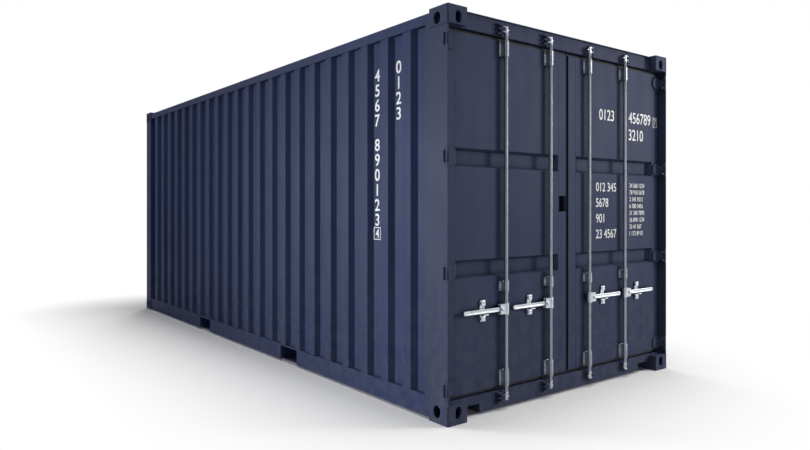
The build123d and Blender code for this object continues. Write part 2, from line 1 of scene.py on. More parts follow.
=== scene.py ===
import bpy
import json
import math
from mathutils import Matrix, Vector


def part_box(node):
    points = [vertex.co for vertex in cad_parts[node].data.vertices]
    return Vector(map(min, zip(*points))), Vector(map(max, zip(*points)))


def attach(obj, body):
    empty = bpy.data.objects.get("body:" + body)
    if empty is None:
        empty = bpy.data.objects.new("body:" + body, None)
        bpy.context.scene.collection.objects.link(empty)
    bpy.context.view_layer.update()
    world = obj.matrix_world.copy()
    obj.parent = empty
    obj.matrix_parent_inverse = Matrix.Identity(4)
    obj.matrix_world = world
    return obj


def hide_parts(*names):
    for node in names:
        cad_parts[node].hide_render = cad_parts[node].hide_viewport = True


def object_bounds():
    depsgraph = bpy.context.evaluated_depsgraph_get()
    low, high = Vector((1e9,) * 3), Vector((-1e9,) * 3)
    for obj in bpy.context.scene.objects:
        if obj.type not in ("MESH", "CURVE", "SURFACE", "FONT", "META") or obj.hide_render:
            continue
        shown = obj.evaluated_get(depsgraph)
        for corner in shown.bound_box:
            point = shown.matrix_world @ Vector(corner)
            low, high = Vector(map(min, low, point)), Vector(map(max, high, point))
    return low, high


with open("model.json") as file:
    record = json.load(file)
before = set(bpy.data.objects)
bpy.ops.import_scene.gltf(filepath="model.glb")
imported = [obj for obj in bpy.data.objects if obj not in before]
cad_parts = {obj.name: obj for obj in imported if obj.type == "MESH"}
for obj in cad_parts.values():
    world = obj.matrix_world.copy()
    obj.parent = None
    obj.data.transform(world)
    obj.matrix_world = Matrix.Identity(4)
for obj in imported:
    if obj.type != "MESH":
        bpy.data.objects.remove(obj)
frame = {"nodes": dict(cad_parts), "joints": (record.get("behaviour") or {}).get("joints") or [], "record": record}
nodes = frame["nodes"]
joints = {joint["name"]: joint for joint in frame["joints"]}
cadBox = [list(corner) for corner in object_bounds()]
sides = {"left": -1, "right": 1}
bars = ("inner", "outer")


# working helpers
shadeLook = {"smoothAngle": 35, "edgeAngle": 38}
buttonLook = {"crown": 0.35, "round": 0.12}  # shares of a head's height


def deselectAll():
    if bpy.context.mode != "OBJECT":
        bpy.ops.object.mode_set(mode="OBJECT")
    bpy.ops.object.select_all(action="DESELECT")


def pick(*pieces):
    deselectAll()
    for piece in pieces:
        piece.select_set(True)
    bpy.context.view_layer.objects.active = pieces[0]
    return pieces[0]


def settle(piece):  # the place goes into the mesh, the object sits at the origin
    pick(piece)
    bpy.ops.object.transform_apply(location=True, rotation=True, scale=True)
    return piece


def modify(piece, kind, **values):
    change = piece.modifiers.new(kind.lower(), kind)
    for key, value in values.items():
        setattr(change, key, value)
    pick(piece)
    bpy.ops.object.modifier_apply(modifier=change.name)
    return piece


def editFaces(piece, test):  # edit mode with the faces that pass the test selected
    pick(piece)
    bpy.ops.object.mode_set(mode="EDIT")
    bpy.ops.mesh.select_mode(type="FACE")
    bpy.ops.mesh.select_all(action="DESELECT")
    bpy.ops.object.mode_set(mode="OBJECT")
    for face in piece.data.polygons:
        face.select = test(face)
    bpy.ops.object.mode_set(mode="EDIT")


def roundBlock(low, high, edge, segments=2):  # a block with rounded edges
    deselectAll()
    middle = [(a + b) / 2 for a, b in zip(low, high)]
    size = [b - a for a, b in zip(low, high)]
    bpy.ops.mesh.primitive_cube_add(size=1, location=middle, scale=size)
    piece = settle(bpy.context.object)
    return modify(piece, "BEVEL", width=edge, segments=segments)


def button(radius, tall, vertices, rim, axis):  # a round or six-sided head on its seat at the origin
    deselectAll()
    bpy.ops.mesh.primitive_cylinder_add(vertices=vertices, radius=radius, depth=tall,
                                        location=(0, 0, tall / 2))
    piece = settle(bpy.context.object)
    editFaces(piece, lambda face: face.normal.z > 0.9)
    bpy.ops.mesh.inset(thickness=radius * rim)
    bpy.ops.mesh.extrude_region_move(TRANSFORM_OT_translate={"value": (0, 0, tall * buttonLook["crown"])})
    bpy.ops.mesh.inset(thickness=radius * rim)
    bpy.ops.object.mode_set(mode="OBJECT")
    if axis == "x":
        piece.rotation_euler = (0, math.pi / 2, 0)
    elif axis == "-z":
        piece.rotation_euler = (math.pi, 0, 0)
    settle(piece)
    return modify(piece, "BEVEL", width=tall * buttonLook["round"], segments=2, limit_method="ANGLE")


def dress(piece, name, finish, body):
    piece.name = name
    piece.data.name = name
    piece.data.materials.clear()
    piece.data.materials.append(finish)
    pick(piece)
    bpy.ops.object.shade_smooth_by_angle(angle=math.radians(shadeLook["smoothAngle"]))
    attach(piece, body)
    return piece


def repeat(model, places):  # copies of one model, each with its own mesh, joined into one piece
    twins = []
    for place in places:
        twin = model.copy()
        twin.data = model.data.copy()
        bpy.context.collection.objects.link(twin)
        twin.location = place
        twins.append(twin)
    bpy.data.objects.remove(model)
    pick(*twins)
    if len(twins) > 1:
        bpy.ops.object.join()
    return settle(twins[0])


def joinAll(pieces):
    pick(*pieces)
    if len(pieces) > 1:
        bpy.ops.object.join()
    return settle(pieces[0])


def lumps(node):  # the low and high corners of each solid in a node
    mesh = nodes[node].data
    keys = [tuple(round(value, 5) for value in vertex.co) for vertex in mesh.vertices]
    parent = {key: key for key in keys}

    def root(key):
        while parent[key] != key:
            parent[key] = parent[parent[key]]
            key = parent[key]
        return key

    for face in mesh.polygons:
        first = root(keys[face.vertices[0]])
        for index in face.vertices[1:]:
            parent[root(keys[index])] = first
    groups = {}
    for key in parent:
        groups.setdefault(root(key), []).append(key)
    boxes = [(Vector(map(min, zip(*group))), Vector(map(max, zip(*group)))) for group in groups.values()]
    return sorted(boxes, key=lambda box: (box[0].y, box[0].z, box[0].x))


# finishes
def startFinish(name):
    finish = bpy.data.materials.new(name)
    finish.use_nodes = True
    tree = finish.node_tree
    return finish, tree, tree.nodes["Principled BSDF"]


def addNode(tree, kind, values=None, **settings):
    node = tree.nodes.new(kind)
    for key, value in settings.items():
        setattr(node, key, value)
    for key, value in (values or {}).items():
        node.inputs[key].default_value = value
    return node


def placeNode(tree, scale):  # object coordinates, stretched along the axes
    where = addNode(tree, "ShaderNodeTexCoord")
    turn = addNode(tree, "ShaderNodeMapping", {"Scale": scale})
    tree.links.new(where.outputs["Object"], turn.inputs["Vector"])
    return turn.outputs["Vector"]


def axesNode(tree):  # object coordinates, one socket for each axis
    axes = addNode(tree, "ShaderNodeSeparateXYZ")
    tree.links.new(placeNode(tree, (1, 1, 1)), axes.inputs["Vector"])
    return axes.outputs


def rangeNode(tree, value, span, results):  # one range of values laid over another
    change = addNode(tree, "ShaderNodeMapRange", {"From Min": span[0], "From Max": span[1],
                                                  "To Min": results[0], "To Max": results[1]})
    tree.links.new(value, change.inputs["Value"])
    return change.outputs["Result"]


def noiseNode(tree, scale, detail, stretch=(1, 1, 1), rough=0.5):
    noise = addNode(tree, "ShaderNodeTexNoise", {"Scale": scale, "Detail": detail, "Roughness": rough})
    tree.links.new(placeNode(tree, stretch), noise.inputs["Vector"])
    return noise.outputs["Fac"]


def rampNode(tree, value, low, high, start=0.3, end=0.7):  # two tones, or two grey values, over a pattern
    ramp = addNode(tree, "ShaderNodeValToRGB")
    ramp.color_ramp.elements[0].position = start
    ramp.color_ramp.elements[1].position = end
    for element, tone in zip(ramp.color_ramp.elements, (low, high)):
        element.color = (*tone, 1) if isinstance(tone, tuple) else (tone, tone, tone, 1)
    tree.links.new(value, ramp.inputs["Fac"])
    return ramp.outputs["Color"]


def mixNode(tree, share, first, second, blend="MIX"):
    mix = addNode(tree, "ShaderNodeMix", data_type="RGBA", blend_type=blend)
    for socket, value in ((mix.inputs[0], share), (mix.inputs[6], first), (mix.inputs[7], second)):
        if isinstance(value, bpy.types.NodeSocket):
            tree.links.new(value, socket)
        else:
            socket.default_value = value
    return mix.outputs[2]


def mathNode(tree, operation, first, second=0.0):
    node = addNode(tree, "ShaderNodeMath", operation=operation)
    for socket, value in zip(node.inputs, (first, second)):
        if isinstance(value, bpy.types.NodeSocket):
            tree.links.new(value, socket)
        else:
            socket.default_value = value
    return node.outputs["Value"]


def bumpNode(tree, height, strength, distance, normal=None):
    bump = addNode(tree, "ShaderNodeBump", {"Strength": strength, "Distance": distance})
    tree.links.new(height, bump.inputs["Height"])
    if normal:
        tree.links.new(normal, bump.inputs["Normal"])
    return bump.outputs["Normal"]


paintLook = {
    # the three tones are lit and shaded copies of one navy paint, standing in for the light on walls, doors and
    # frame
    "wallTones": ((0.033, 0.046, 0.112), (0.039, 0.053, 0.126)),
    "doorTones": ((0.041, 0.052, 0.103), (0.048, 0.06, 0.116)),  # duller and greyer: a painted sheen where the doors catch the light
    "frameTones": ((0.041, 0.05, 0.098), (0.048, 0.058, 0.11)),
    "foldShade": 0.2,  # what the painted shade in the door's folds, beside the bars and at the frame leaves of the tone
    "foldReach": 0.045,
    "blueLightSpan": (-2.2, 1.6),  # along X; painted light, bluer towards the front, away from the doors, as if the light there were bluer
    "blueLightTint": (0.95, 1.03, 1.2),
    "dustTop": 1.15,
    "dustShare": 0.3,  # at the ground
    "wallBend": 0.006, "doorBend": 0.0012, "frameBend": 0.004,  # radius that light sees at folds
    "specular": 0.05,
    "specularTint": (0.55, 0.65, 1),
    "dust": (0.13, 0.135, 0.15),
    "wornAndLitEdge": (0.1, 0.115, 0.17),
}


def navyPaint(name, kind, shadeFolds=False):
    finish, tree, shader = startFinish(name)
    base = rampNode(tree, noiseNode(tree, 1.3, 4), *paintLook[kind + "Tones"])
    rain = rampNode(tree, noiseNode(tree, 9, 3, (1, 1, 0.06)), 0.86, 1.0, 0.35, 0.6)
    base = mixNode(tree, 1.0, base, rain, "MULTIPLY")
    place = axesNode(tree)
    low = rangeNode(tree, place["Z"], (0.0, paintLook["dustTop"]), (paintLook["dustShare"], 0.0))
    # painted light: the paint turns bluer towards the front, standing in for bluer light there
    paintedBlueShare = rangeNode(tree, place["X"], paintLook["blueLightSpan"], (1.0, 0.0))
    base = mixNode(tree, paintedBlueShare, base, (*paintLook["blueLightTint"], 1), "MULTIPLY")
    spots = rampNode(tree, noiseNode(tree, 14, 6), 0.0, 1.0, 0.4, 0.75)
    dusty = mixNode(tree, 1.0, low, spots, "MULTIPLY")
    base = mixNode(tree, dusty, base, (*paintLook["dust"], 1))
    bend = addNode(tree, "ShaderNodeBevel", {"Radius": paintLook[kind + "Bend"]}, samples=6)
    flat = addNode(tree, "ShaderNodeNewGeometry")
    turn = addNode(tree, "ShaderNodeVectorMath", operation="DOT_PRODUCT")
    tree.links.new(bend.outputs["Normal"], turn.inputs[0])
    tree.links.new(flat.outputs["Normal"], turn.inputs[1])
    # worn paint at the edges, its lighter tone partly a painted edge highlight
    edge = rampNode(tree, turn.outputs["Value"], 1.0, 0.0, 0.86, 0.985)
    patches = rampNode(tree, noiseNode(tree, 30, 5), 0.0, 0.55, 0.45, 0.7)
    wearAndEdgeLight = mixNode(tree, 1.0, edge, patches, "MULTIPLY")
    base = mixNode(tree, wearAndEdgeLight, base, (*paintLook["wornAndLitEdge"], 1))
    # painted shade: ambient occlusion darkens the doors' folds and the panel next to the bars and the frame
    if shadeFolds:
        reach = {"Distance": paintLook["foldReach"]}
        fold = addNode(tree, "ShaderNodeAmbientOcclusion", reach, samples=8)
        foldShading = rampNode(tree, fold.outputs["AO"], paintLook["foldShade"], 1.0, 0.45, 0.92)
        base = mixNode(tree, 1.0, base, foldShading, "MULTIPLY")
    tree.links.new(base, shader.inputs["Base Color"])
    gloss = rampNode(tree, noiseNode(tree, 5, 5), 0.5, 0.56)
    tree.links.new(gloss, shader.inputs["Roughness"])
    shader.inputs["Specular IOR Level"].default_value = paintLook["specular"]
    shader.inputs["Specular Tint"].default_value = (*paintLook["specularTint"], 1)
    waves = bumpNode(tree, noiseNode(tree, 3.2, 1), 0.025, 0.012, bend.outputs["Normal"])
    peel = bumpNode(tree, noiseNode(tree, 420, 2), 0.07, 0.001, waves)
    tree.links.new(peel, shader.inputs["Normal"])
    return finish


zincLook = {
    "metallic": 0.85,
    "barTones": ((0.21, 0.23, 0.275), (0.26, 0.28, 0.33)), "barRough": 0.4,
    "pinTones": ((0.05, 0.055, 0.07), (0.08, 0.085, 0.1)), "pinRough": 0.5,
    "leverTones": ((0.36, 0.385, 0.43), (0.5, 0.53, 0.58)), "leverRough": 0.36,
    "shadeSpan": (0.2, 2.45),  # heights between which the painted shade and light change the tone
    "dullAndShadedTop": (1.12, 0.58), "litTop": (1.12, 1.3),  # share of the tone at those heights: painted shade darkens bars and fittings higher up, painted light brightens the levers higher up
    "toothStart": 0.0135,  # from the bar's axis
    "halfway": 1.3,  # up the door
    "camsPast": 1.0,  # from halfway
}


def zincFinish(name, kind, shades, barY=None):  # galvanised steel with its crystals
    finish, tree, shader = startFinish(name)
    crystal = addNode(tree, "ShaderNodeTexVoronoi", {"Scale": 160.0}, feature="F1")
    tree.links.new(placeNode(tree, (1, 1, 1)), crystal.inputs["Vector"])
    grey = addNode(tree, "ShaderNodeRGBToBW")
    tree.links.new(crystal.outputs["Color"], grey.inputs["Color"])
    base = rampNode(tree, grey.outputs["Val"], *zincLook[kind + "Tones"], 0.1, 0.9)
    dullAndShadedTop = rampNode(tree, noiseNode(tree, 22, 5), 0.86, 1.0, 0.35, 0.65)
    base = mixNode(tree, 1.0, base, dullAndShadedTop, "MULTIPLY")
    place = axesNode(tree)
    # painted shade and light: the zinc's tone changes with height, the way the light falls on it
    shade = rangeNode(tree, place["Z"], zincLook["shadeSpan"], shades)
    base = mixNode(tree, 1.0, base, shade, "MULTIPLY")
    shader.inputs["Metallic"].default_value = zincLook["metallic"]
    if barY:  # the teeth of the cams are painted with the frame
        aside = mathNode(tree, "ABSOLUTE", place["Y"])
        beside = mathNode(tree, "GREATER_THAN", aside, barY + zincLook["toothStart"])
        up = mathNode(tree, "SUBTRACT", place["Z"], zincLook["halfway"])
        atEnds = mathNode(tree, "GREATER_THAN", mathNode(tree, "ABSOLUTE", up), zincLook["camsPast"])
        painted = mathNode(tree, "MULTIPLY", beside, atEnds)
        base = mixNode(tree, painted, base, (*paintLook["frameTones"][0], 1))
        bare = mathNode(tree, "SUBTRACT", 1.0, painted)
        tree.links.new(mathNode(tree, "MULTIPLY", bare, zincLook["metallic"]), shader.inputs["Metallic"])
    tree.links.new(base, shader.inputs["Base Color"])
    rough = zincLook[kind + "Rough"]
    gloss = rampNode(tree, noiseNode(tree, 60, 4), rough - 0.08, rough + 0.1)
    tree.links.new(gloss, shader.inputs["Roughness"])
    tree.links.new(bumpNode(tree, noiseNode(tree, 260, 3), 0.1, 0.001), shader.inputs["Normal"])
    return finish


plainLook = {
    "rubber": ((0.011, 0.012, 0.015), (0.02, 0.021, 0.025)),
    "plywood": ((0.16, 0.085, 0.04), (0.33, 0.2, 0.105)),
    "white": ((0.6, 0.62, 0.65), (0.8, 0.81, 0.83)),
}


def sealRubber():
    finish, tree, shader = startFinish("sealRubber")
    base = rampNode(tree, noiseNode(tree, 24, 4), *plainLook["rubber"])
    tree.links.new(base, shader.inputs["Base Color"])
    tree.links.new(rampNode(tree, noiseNode(tree, 40, 3), 0.66, 0.85), shader.inputs["Roughness"])
    shader.inputs["Specular IOR Level"].default_value = 0.3
    tree.links.new(bumpNode(tree, noiseNode(tree, 300, 2), 0.15, 0.001), shader.inputs["Normal"])
    return finish


def floorPlywood():
    finish, tree, shader = startFinish("floorPlywood")
    grain = noiseNode(tree, 7, 8, (0.35, 5, 5), 0.62)
    base = rampNode(tree, grain, *plainLook["plywood"], 0.3, 0.72)
    scuff = rampNode(tree, noiseNode(tree, 2.2, 6), 0.7, 1.0, 0.35, 0.65)
    tree.links.new(mixNode(tree, 1.0, base, scuff, "MULTIPLY"), shader.inputs["Base Color"])
    tree.links.new(rampNode(tree, grain, 0.5, 0.72), shader.inputs["Roughness"])
    tree.links.new(bumpNode(tree, grain, 0.2, 0.002), shader.inputs["Normal"])
    return finish


def markingWhite():
    finish, tree, shader = startFinish("markingWhite")
    base = rampNode(tree, noiseNode(tree, 60, 6), *plainLook["white"], 0.3, 0.5)
    tree.links.new(base, shader.inputs["Base Color"])
    tree.links.new(rampNode(tree, noiseNode(tree, 90, 3), 0.45, 0.6), shader.inputs["Roughness"])
    return finish


navy = navyPaint("navyPaint", "wall")
# the doors' paint also carries painted shade in its folds
flushNavy = navyPaint("flushNavy", "door", True)
frameNavy = navyPaint("frameNavy", "frame")
zinc = zincFinish("zincSteel", "bar", zincLook["dullAndShadedTop"])
pinSteel = zincFinish("pinSteel", "pin", zincLook["dullAndShadedTop"])
brightZinc = zincFinish("brightZinc", "lever", zincLook["litTop"])
fittingZinc = {}
for label in bars:
    barY = abs(joints[f"left_{label}_bar_turn"]["pos_m"][1])
    fittingZinc[label] = zincFinish(label + "FittingZinc", "lever", zincLook["dullAndShadedTop"], barY)
rubber = sealRubber()
plywood = floorPlywood()
white = markingWhite()
slotFinish = {"navy_paint": navy, "galvanised_steel": zinc, "bright_steel": pinSteel,
              "door_seal_rubber": rubber, "plywood": plywood}
print("finishes made:", len(bpy.data.materials))


# the CAD nodes keep their shape, with finishes and small rounded edges
edgeRounds = {
    "corner_castings": 0.004, "rear_corner_posts": 0.0015, "front_corner_posts": 0.0025,
    "top_side_rails": 0.003, "front_top_rail": 0.003, "door_header": 0.003, "hinge_lugs": 0.002,
    "cam_keepers": 0.0015, "hinge_blades": 0.002, "bar_brackets": 0.0014, "handle_retainers": 0.0012,
    "bar_fittings": 0.0015, "handle": 0.0025, "door_stiles": 0.0025,
}
doorFrame = ("_header", "_sill", "rear_corner_posts", "_castings", "_keepers", "_lugs", "_blades")
for row in frame["record"]["subparts"]:
    node = nodes[row["node"]]
    finish = slotFinish[row["material_slot"]]
    if row["node"].endswith(("_handle", "_handle_retainers")):
        finish = brightZinc
    elif row["node"].endswith("_bar_fittings"):
        finish = fittingZinc[row["node"].split("_")[1]]
    elif row["node"].endswith(("_door_panel", "_door_stiles", "_door_rails")):
        finish = flushNavy
    elif row["node"].endswith(doorFrame):
        finish = frameNavy
    node.data.materials.clear()
    node.data.materials.append(finish)
    for ending, width in edgeRounds.items():
        if row["node"].endswith(ending):
            node.modifiers.new("weld", "WELD").merge_threshold = 0.00001
            rounding = node.modifiers.new("rounding", "BEVEL")
            rounding.width = width
            rounding.segments = 2
            rounding.limit_method = "ANGLE"
            rounding.angle_limit = math.radians(shadeLook["edgeAngle"])
print("CAD nodes finished")


# rubber seals round the doors, with two lips
sealLook = {
    "profile": ((0, -1), (0.3, -1), (0.85, -0.97), (1, -0.9), (0.9, -0.82), (0.42, -0.78),
                (0.36, -0.4), (0.5, -0.28), (0.95, -0.16), (1, -0.06), (0.86, 0), (0.25, 0), (0, 0)),
    "round": 0.0012,
}


def doorSeal(side):
    low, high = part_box(side + "_door_gasket")
    stileLow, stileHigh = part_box(side + "_door_stiles")
    deep = high.x - low.x
    middle = (low + high) / 2
    deselectAll()
    bpy.ops.mesh.primitive_plane_add(size=1, location=middle, rotation=(0, math.pi / 2, 0))
    piece = settle(bpy.context.object)
    bpy.ops.object.mode_set(mode="EDIT")
    bpy.ops.mesh.select_all(action="SELECT")
    bpy.ops.mesh.delete(type="ONLY_FACE")
    bpy.ops.mesh.select_mode(type="EDGE")
    bpy.ops.mesh.select_all(action="SELECT")
    for number, (out, back) in enumerate(sealLook["profile"]):
        if number:
            bpy.ops.mesh.extrude_edges_move()
        bpy.ops.object.mode_set(mode="OBJECT")
        for vertex in piece.data.vertices:
            if not vertex.select:
                continue
            nearY, farY = (stileLow.y, low.y) if vertex.co.y < middle.y else (stileHigh.y, high.y)
            nearZ, farZ = (stileLow.z, low.z) if vertex.co.z < middle.z else (stileHigh.z, high.z)
            vertex.co = (high.x + back * deep, nearY + (farY - nearY) * out, nearZ + (farZ - nearZ) * out)
        bpy.ops.object.mode_set(mode="EDIT")
    bpy.ops.mesh.select_all(action="SELECT")
    bpy.ops.mesh.normals_make_consistent(inside=False)
    bpy.ops.object.mode_set(mode="OBJECT")
    modify(piece, "BEVEL", width=sealLook["round"], segments=2, limit_method="ANGLE")
    dress(piece, side + "DoorSeal", rubber, side + "_door")
    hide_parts(side + "_door_gasket")


for side in sides:
    doorSeal(side)
print("door seals made")


# guides of the bars: a raised rim on each plate and four bolts
guideLook = {
    "plate": 0.005, "clasp": 0.0053,
    "boltRadius": 0.0055, "boltTall": 0.0045, "boltInset": 0.009,
    "rimRaise": 0.0025, "rimSunk": 0.0005, "rimWidth": 0.0035, "rimMargin": 0.003,
    "rimHollow": 0.8, "rimRound": 0.3,  # shares of the rim's height
}


def plateRim(low, high):  # a raised rectangular rim, open in the middle
    deselectAll()
    middle = [(a + b) / 2 for a, b in zip(low, high)]
    size = [b - a for a, b in zip(low, high)]
    bpy.ops.mesh.primitive_cube_add(size=1, location=middle, scale=size)
    piece = settle(bpy.context.object)
    editFaces(piece, lambda face: face.normal.x > 0.9)
    bpy.ops.mesh.inset(thickness=guideLook["rimWidth"])
    hollow = (-size[0] * guideLook["rimHollow"], 0, 0)
    bpy.ops.mesh.extrude_region_move(TRANSFORM_OT_translate={"value": hollow})
    bpy.ops.object.mode_set(mode="OBJECT")
    return modify(piece, "BEVEL", width=size[0] * guideLook["rimRound"], segments=2, limit_method="ANGLE")


def barGuides(side):
    barLow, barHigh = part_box(side + "_inner_bar")
    claspHalf = (barHigh.y - barLow.y) / 2 + guideLook["clasp"]
    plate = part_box(side + "_door_stiles")[1].x + guideLook["plate"]
    inset = guideLook["boltInset"]
    margin = guideLook["rimMargin"]
    rims, boltPlaces = [], []
    for low, high in lumps(side + "_bar_brackets"):
        middle = (low.y + high.y) / 2
        for edge, clasp in ((low.y, middle - claspHalf), (high.y, middle + claspHalf)):
            span = sorted((edge, clasp))
            for z in (low.z + inset, high.z - inset):
                boltPlaces.append((plate, sum(span) / 2, z))
            rims.append(plateRim((plate - guideLook["rimSunk"], span[0] + margin, low.z + 2 * inset),
                                 (plate + guideLook["rimRaise"], span[1] - margin, high.z - 2 * inset)))
    dress(joinAll(rims), side + "GuideRims", brightZinc, side + "_door")
    bolts = repeat(button(guideLook["boltRadius"], guideLook["boltTall"], 6, 0.2, "x"), boltPlaces)
    dress(bolts, side + "GuideBolts", brightZinc, side + "_door")


for side in sides:
    barGuides(side)
print("bar guides dressed")


# collars on the bars and the bolts in the hubs
barLook = {
    "collarWall": 0.003, "collarTall": 0.009, "collarLip": 0.0022, "collarRound": 0.0016,
    "collarGap": 0.001,
    "pinRadius": 0.011, "pinTall": 0.006, "cheek": 0.0125,
}


def barCollar(barRadius):
    radius = barRadius + barLook["collarWall"]
    deselectAll()
    bpy.ops.mesh.primitive_cylinder_add(vertices=28, radius=radius, depth=barLook["collarTall"])
    piece = bpy.context.object
    editFaces(piece, lambda face: abs(face.normal.z) > 0.9)
    bpy.ops.mesh.inset(thickness=barLook["collarLip"], use_individual=True)
    bpy.ops.object.mode_set(mode="OBJECT")
    return modify(piece, "BEVEL", width=barLook["collarRound"], segments=2, limit_method="ANGLE")


def dressBar(side, label):
    axis = Vector(joints[f"{side}_{label}_bar_turn"]["pos_m"])
    lift = Vector(joints[f"{side}_{label}_handle_lift"]["pos_m"])
    body = f"{side}_{label}_lock_bar"
    places = []
    for low, high in lumps(side + "_bar_brackets"):
        if low.y < axis.y < high.y:
            gap = barLook["collarTall"] / 2 + barLook["collarGap"]
            places += [(axis.x, axis.y, z) for z in (low.z - gap, high.z + gap)]
    low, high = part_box(f"{side}_{label}_bar")
    places = [place for place in places if low.z < place[2] < high.z]
    collars = repeat(barCollar((high.y - low.y) / 2), places)
    dress(collars, f"{side}{label.title()}BarCollars", zinc, body)
    seat = (axis.x + barLook["cheek"], lift.y, lift.z)
    pin = repeat(button(barLook["pinRadius"], barLook["pinTall"], 6, 0.22, "x"), [seat])
    dress(pin, f"{side}{label.title()}HandleBolt", brightZinc, body)


for side in sides:
    for label in bars:
        dressBar(side, label)
print("bars dressed")


# a rounded ear on each hook of the handle retainers, with a hole for a seal, and the rivets of the plate
catchLook = {
    "radius": 0.0165, "thick": 0.004, "round": 0.0008, "earInset": 0.017, "hookFront": 0.013,
    "hole": 0.0062, "holeDeep": 0.9,  # of the thickness
    "rivet": 0.005, "rivetTall": 0.003, "rivetAside": 0.012, "rivetLow": 0.04, "rivetHigh": 0.042,
    "plate": 0.005,
}


def retainerEar():  # a round plate facing +X with a sunk hole
    deselectAll()
    bpy.ops.mesh.primitive_cylinder_add(vertices=32, radius=catchLook["radius"], depth=catchLook["thick"],
                                        rotation=(0, math.pi / 2, 0))
    piece = settle(bpy.context.object)
    editFaces(piece, lambda face: face.normal.x > 0.9)
    bpy.ops.mesh.inset(thickness=catchLook["radius"] - catchLook["hole"])
    sink = (-catchLook["thick"] * catchLook["holeDeep"], 0, 0)
    bpy.ops.mesh.extrude_region_move(TRANSFORM_OT_translate={"value": sink})
    bpy.ops.object.mode_set(mode="OBJECT")
    return modify(piece, "BEVEL", width=catchLook["round"], segments=2, limit_method="ANGLE")


def handleCatches(side):
    sign = sides[side]
    ears, rivets = [], []
    for low, high in lumps(side + "_handle_retainers"):
        middleY = (low.y + high.y) / 2
        front = low.x + catchLook["hookFront"] + catchLook["thick"] / 2
        inset = catchLook["earInset"]
        ears += [(front, middleY, z) for z in (high.z - inset, low.z + inset)]
        seat = (low.x + catchLook["plate"], middleY - sign * catchLook["rivetAside"])
        rivets += [(*seat, z) for z in (low.z + catchLook["rivetLow"], high.z - catchLook["rivetHigh"])]
    body = side + "_door"
    dress(repeat(retainerEar(), ears), side + "HandleEars", brightZinc, body)
    rivet = button(catchLook["rivet"], catchLook["rivetTall"], 18, 0.3, "x")
    dress(repeat(rivet, rivets), side + "RetainerRivets", brightZinc, body)


for side in sides:
    handleCatches(side)
print("handle retainers dressed")


# heads of the hinge pins, above and below their lugs
pinLook = {"radius": 0.0085, "tall": 0.004, "vertices": 20, "rim": 0.2}
lugBoxes = lumps("hinge_lugs")


def pinHead(axis):
    return button(pinLook["radius"], pinLook["tall"], pinLook["vertices"], pinLook["rim"], axis)


def pinHeads():
    pinX, pinY = joints["left_door_hinge"]["pos_m"][:2]
    upper, lower = [], []
    for number, (low, high) in enumerate(lugBoxes):
        y = math.copysign(pinY, low.y + high.y)
        if number % 2:
            upper.append((pinX, y, high.z))
        else:
            lower.append((pinX, y, low.z))
    heads = [repeat(pinHead("z"), upper), repeat(pinHead("-z"), lower)]
    dress(joinAll(heads), "hingePinHeads", frameNavy, "container_body")


pinHeads()
print("hinge pins headed")


# plates that close the notches of the posts behind the hinges
notchLook = {
    "deep": 0.0427, "clear": 0.027, "thick": 0.002, "sunk": 0.0065, "edge": 0.0006, "overlap": 0.0035,
}


def notchPlates():
    postLow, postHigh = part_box("rear_corner_posts")
    rear = cadBox[1][0]
    plates = []
    for sign in sides.values():
        face = (postLow.y if sign < 0 else postHigh.y) - sign * notchLook["sunk"]
        span = sorted((face, face - sign * notchLook["thick"]))
        lugs = [box for box in lugBoxes if (box[0].y + box[1].y) * sign > 0]
        for lower, upper in zip(lugs[::2], lugs[1::2]):
            low = (rear - notchLook["deep"], span[0], lower[1].z - notchLook["overlap"])
            high = (rear - notchLook["clear"], span[1], upper[0].z + notchLook["overlap"])
            plates.append(roundBlock(low, high, notchLook["edge"]))
    dress(joinAll(plates), "notchPlates", frameNavy, "container_body")


notchPlates()
print("notches closed")


# weld beads, each a row of overlapping drops along an edge
weldLook = {
    "pitch": 0.0055, "drop": (0.0042, 0.0026, 0.0026), "lift": 0.0008,
    "leafCorner": 0.03, "leafStart": 0.08, "leafCut": 0.022, "castingInset": 0.004,
}


def weldRun(start, end):
    start, end = Vector(start), Vector(end)
    along = end - start
    deselectAll()
    bpy.ops.mesh.primitive_uv_sphere_add(segments=8, ring_count=5, radius=1, scale=weldLook["drop"])
    piece = settle(bpy.context.object)
    count = max(2, round(along.length / weldLook["pitch"]))
    modify(piece, "ARRAY", count=count, use_relative_offset=False, use_constant_offset=True,
           constant_offset_displace=(along.length / count, 0, 0))
    piece.rotation_euler = along.to_track_quat("X", "Z").to_euler()
    piece.location = start
    return settle(piece)


def leafWelds(side):  # round the leaf of each hinge blade
    sign = sides[side]
    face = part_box(side + "_door_stiles")[1].x + weldLook["lift"]
    runs = []
    for low, high in lumps(side + "_hinge_blades"):
        tip = high.y if side == "left" else low.y
        corner = tip + sign * weldLook["leafCorner"]
        start = tip + sign * weldLook["leafStart"]
        lowCut = low.z + weldLook["leafCut"]
        highCut = high.z - weldLook["leafCut"]
        for z, cut in ((low.z, lowCut), (high.z, highCut)):
            runs.append(weldRun((face, start, z), (face, corner, z)))
            runs.append(weldRun((face, corner, z), (face, tip, cut)))
        runs.append(weldRun((face, tip, lowCut), (face, tip, highCut)))
    dress(joinAll(runs), side + "LeafWelds", frameNavy, side + "_door")


